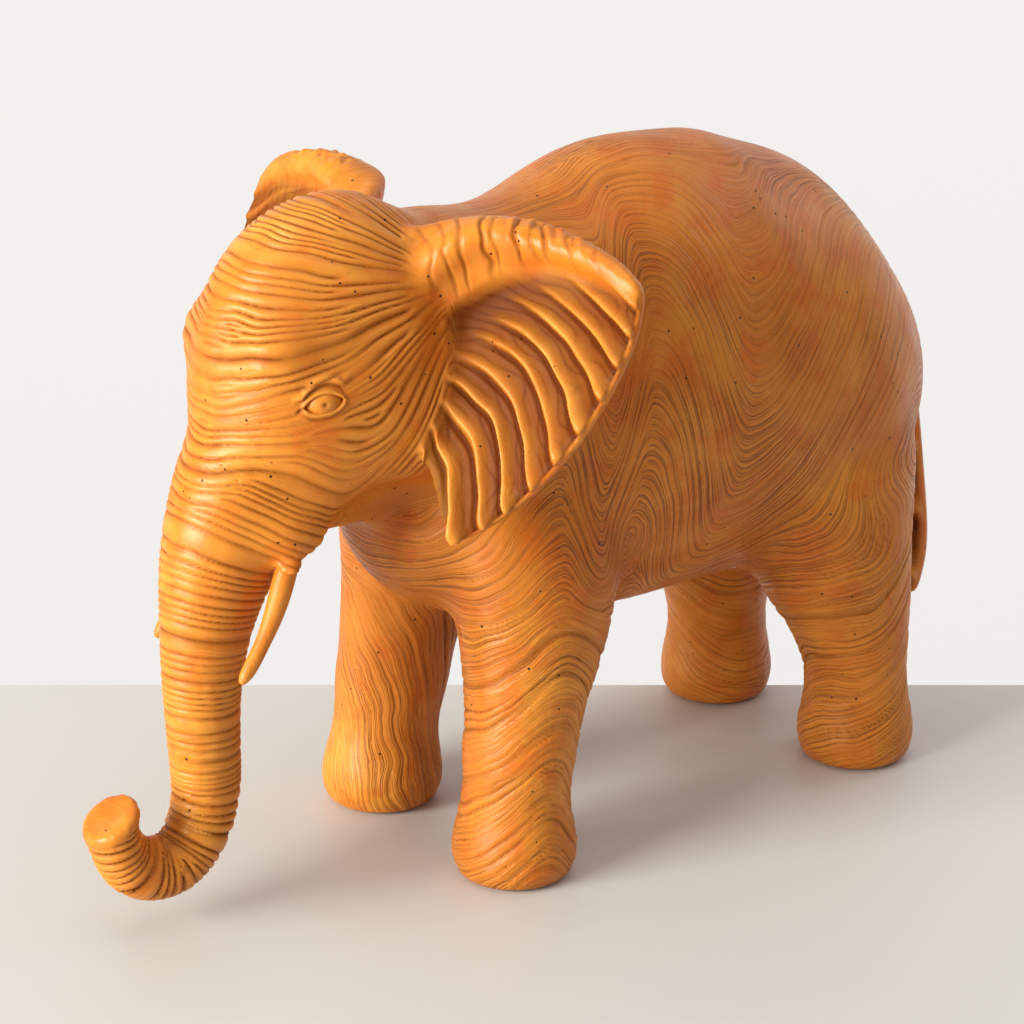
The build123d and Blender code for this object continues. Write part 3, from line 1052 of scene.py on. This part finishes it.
class Nodes:
    """Builds a material's nodes with short calls."""

    def __init__(self, name):
        self.material = bpy.data.materials.new(name)
        self.material.use_nodes = True
        self.tree = self.material.node_tree
        self.shader = self.tree.nodes["Principled BSDF"]

    def link(self, source, socket):
        """Gives a socket a constant, or another node's output."""
        if isinstance(source, (int, float, tuple)):
            socket.default_value = source
        else:
            self.tree.links.new(source, socket)

    def shade(self, name, source):
        self.link(source, self.shader.inputs[name])

    def node(self, kind, **inputs):
        node = self.tree.nodes.new("ShaderNode" + kind)
        for name, source in inputs.items():
            self.link(source, node.inputs[name])
        return node

    def value(self, name):
        """One of the values that carve() gives each point."""
        node = self.node("Attribute")
        node.attribute_name = name
        return node.outputs["Fac"]

    def place(self):
        return self.node("NewGeometry").outputs["Position"]

    def math(self, operation, *inputs, clamp=False):
        node = self.node("Math")
        node.operation = operation
        node.use_clamp = clamp
        for socket, source in zip(node.inputs, inputs):
            self.link(source, socket)
        return node.outputs[0]

    def noise(self, scale, detail, along=None, roughness=0.5):
        """Noise in space, or along a value that is given."""
        node = self.node("TexNoise", Scale=scale, Detail=detail, Roughness=roughness)
        if along is not None:
            node.noise_dimensions = "1D"
            self.link(along, node.inputs["W"])
        else:
            self.link(self.place(), node.inputs["Vector"])
        return node.outputs[0]

    def ramp(self, source, *stops):
        node = self.node("ValToRGB")
        while len(node.color_ramp.elements) < len(stops):
            node.color_ramp.elements.new(0.5)
        for element, (place, colour) in zip(node.color_ramp.elements, stops):
            element.position = place
            element.color = colour if isinstance(colour, tuple) else (colour, colour, colour, 1)
        self.link(source, node.inputs[0])
        return node.outputs["Color"]

    def mix(self, share, first, second):
        node = self.node("Mix", Factor=share)
        node.data_type = "RGBA"
        self.link(first, node.inputs[6])
        self.link(second, node.inputs[7])
        return node.outputs[2]

    def bump(self, height, distance, strength, normal=None):
        node = self.node("Bump", Distance=distance, Strength=strength, Height=height)
        if normal is not None:
            self.link(normal, node.inputs["Normal"])
        return node.outputs[0]


def fine_lines(nodes, run, level):
    """Thin grain lines that keep their spacing where the grain's run steepens: 0 in a line, 1 between."""
    octave = nodes.math("FLOOR", level)
    share = nodes.math("SUBTRACT", level, octave)
    layers = []
    for step in (0, 1):
        size = nodes.math("POWER", 2.0, nodes.math("MULTIPLY", nodes.math("ADD", octave, float(step)), -1.0))
        layers.append(nodes.noise(1.1, 2.0, along=nodes.math("MULTIPLY", run, size), roughness=0.6))
    return nodes.mix(share, layers[0], layers[1])


def varnished_wood(name):
    """Golden-brown varnished wood, darker in its grooves with stain and painted shade, paler on its ridges
    with a painted highlight, with a few pin-holes.
    """
    nodes = Nodes(name)
    run, level = nodes.value("run"), nodes.value("steepness")
    stain_and_painted_shade, painted_highlight_and_pale_tone, fine = nodes.value("stain_and_painted_shade"), nodes.value("painted_highlight_and_pale_tone"), nodes.value("fine")

    # Fine grain lines, in patches
    wobble = nodes.math("MULTIPLY", nodes.noise(130, 3.0), 2.2)
    lines = fine_lines(nodes, nodes.math("ADD", run, wobble), level)
    thin = nodes.ramp(lines, (0.40, 1.0), (0.47, 0.25), (0.54, 0.0))
    patch = nodes.ramp(nodes.noise(38, 2.0), (0.42, 0.25), (0.62, 1.0))
    thin = nodes.math("MULTIPLY", nodes.math("MULTIPLY", thin, patch), fine)

    # The varnish's tones, redder in blotches
    stain = nodes.noise(26, 4.0, roughness=0.6)
    tone = nodes.ramp(stain, (0.3, srgb(192, 105, 27)), (0.52, srgb(208, 122, 35)), (0.7, srgb(222, 142, 49)))
    blotch = nodes.ramp(nodes.noise(95, 5.0, roughness=0.65), (0.48, 0.0), (0.62, 1.0))
    tone = nodes.mix(nodes.math("MULTIPLY", blotch, 0.5), tone, srgb(205, 92, 12))
    tone = nodes.mix(nodes.math("MULTIPLY", thin, 0.7), tone, srgb(98, 42, 8))
    # Dark brown where the skin is marked dark: stain and painted shade in the grooves, painted shade on the
    # ears' faces
    tone = nodes.mix(stain_and_painted_shade, tone, srgb(92, 38, 6))
    # Pale gold where the skin is marked light: a painted highlight on the ridges
    tone = nodes.mix(nodes.math("MULTIPLY", painted_highlight_and_pale_tone, 0.35, clamp=True), tone, srgb(240, 168, 72))

    # Pin-holes
    holes = nodes.node("TexVoronoi", Scale=230, Vector=nodes.place())
    chance = nodes.node("SeparateColor", Color=holes.outputs["Color"])
    rare = nodes.math("GREATER_THAN", chance.outputs[0], 0.72)
    hole = nodes.ramp(holes.outputs["Distance"], (0.07, 1.0), (0.1, 0.0))
    hole = nodes.math("MULTIPLY", hole, rare)
    tone = nodes.mix(hole, tone, srgb(60, 28, 10))

    # Satin, duller in the cuts
    nodes.shade("Base Color", tone)
    rough = nodes.ramp(nodes.noise(70, 3.0), (0.35, 0.3), (0.7, 0.46))
    rough = nodes.math("ADD", rough, nodes.math("MULTIPLY", stain_and_painted_shade, 0.35))
    nodes.shade("Roughness", rough)
    gloss = nodes.math("SUBTRACT", 0.3, nodes.math("MULTIPLY", stain_and_painted_shade, 0.26))
    nodes.shade("Specular IOR Level", gloss)
    nodes.shade("Coat Weight", 0.03)
    nodes.shade("Coat Roughness", 0.25)

    normal = nodes.bump(thin, 0.0004, 0.6)
    normal.node.invert = True
    normal = nodes.bump(nodes.noise(900, 3.0), 0.0001, 0.35, normal)
    normal = nodes.bump(hole, 0.0008, 0.8, normal)
    normal.node.invert = True
    nodes.shade("Normal", normal)
    return nodes.material


def dowel_wood():
    nodes = Nodes("dowel_wood")
    tone = nodes.ramp(nodes.noise(60, 3.0), (0.3, srgb(190, 150, 104)), (0.7, srgb(212, 176, 132)))
    nodes.shade("Base Color", tone)
    nodes.shade("Roughness", 0.7)
    return nodes.material


def assign(thing, material):
    thing.data.materials.clear()
    thing.data.materials.append(material)


for slot, pieces in (("carved_wood", carved_pieces), ("smooth_wood", smooth_pieces)):
    wood = varnished_wood(slot)
    for thing in pieces:
        assign(thing, wood)
dowel = dowel_wood()
for name in DOWELS:
    assign(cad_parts[name], dowel)


# -------- table, lights and camera

VIEW_ROUND = 142.0
VIEW_DOWN = 19.6
VIEW_DISTANCE = 0.95
LENS = 109.7
SENSOR = 36
TABLE_EDGE = 0.1007  # from the target to the table's far edge
WALL_BEYOND = 2.0  # from there to the wall
TARGET = np.array([MIDDLE_X + 44.9, 0.0, 99.3]) * MM  # what the camera and the lights point at


def backward(around, down):
    """The direction from the target to a camera that looks from around the elephant, and down on it."""
    a, e = math.radians(around), math.radians(down)
    return np.array([math.sin(a) * math.cos(e), -math.cos(a) * math.cos(e), math.sin(e)])


def look_at(thing, place, target):
    thing.location = place
    thing.rotation_euler = Vector(target - place).to_track_quat("-Z", "Y").to_euler()


def add_camera():
    data = bpy.data.cameras.new("camera")
    data.lens = LENS
    data.sensor_width = SENSOR
    data.clip_start = 0.05
    camera = new_object("camera", data)
    look_at(camera, TARGET + VIEW_DISTANCE * backward(VIEW_ROUND, VIEW_DOWN), TARGET)
    bpy.context.scene.camera = camera


def add_light(name, around, down, distance, width, power, colour):
    data = bpy.data.lights.new(name, "AREA")
    data.shape = "SQUARE"
    data.size = width
    data.energy = power
    data.color = colour
    look_at(new_object(name, data), TARGET + distance * backward(around, down), TARGET)


def plain(name, colour, roughness, glow=0.0):
    """A plain material with a faint change of tone."""
    nodes = Nodes(name)
    nodes.shade("Emission Color", colour)
    nodes.shade("Emission Strength", glow)
    darker = tuple(0.97 * c for c in colour[:3]) + (1.0,)
    nodes.shade("Base Color", nodes.ramp(nodes.noise(3.0, 2.0), (0.3, colour), (0.7, darker)))
    nodes.shade("Roughness", roughness)
    return nodes.material


def add_backdrop(name, first, second, width, material):
    """A rectangle between two level lines, given by their middles, reaching the width to each side."""
    across = np.array([math.cos(math.radians(VIEW_ROUND)), math.sin(math.radians(VIEW_ROUND)), 0]) * -width
    corners = [first + across, first - across, second - across, second + across]
    mesh = bpy.data.meshes.new(name)
    mesh.from_pydata([tuple(corner) for corner in corners], [], [(0, 1, 2, 3)])
    mesh.materials.append(material)
    new_object(name, mesh)


def add_stage():
    """A pale table whose far edge is straight behind the elephant, and a wall beyond it that glows white."""
    away = -backward(VIEW_ROUND, 0)
    up = np.array([0, 0, 1.0])
    edge = TARGET * [1, 1, 0] + away * TABLE_EDGE
    foot = edge + away * WALL_BEYOND
    add_backdrop("table", edge, edge - away * 3, 3, plain("table", srgb(210, 206, 204), 0.5))
    add_backdrop("wall", foot - up * 2, foot + up * 3, 4, plain("wall", srgb(81, 80, 79), 0.9, 10.0))


def add_world():
    world = bpy.data.worlds.new("world")
    bpy.context.scene.world = world
    world.use_nodes = True
    background = world.node_tree.nodes["Background"]
    background.inputs["Color"].default_value = (1.0, 0.95, 0.9, 1)
    background.inputs["Strength"].default_value = 0.36


add_camera()
add_stage()
add_world()
add_light("key", VIEW_ROUND - 55, 14, 2.0, 1.1, 75, (0.94, 1.0, 0.9))
add_light("top", VIEW_ROUND, 84, 1.5, 1.4, 6.5, (1.0, 0.99, 0.97))
add_light("back", VIEW_ROUND + 118, 34, 1.2, 0.6, 2.2, (1.0, 0.98, 0.96))
bpy.context.scene.view_settings.view_transform = "Standard"
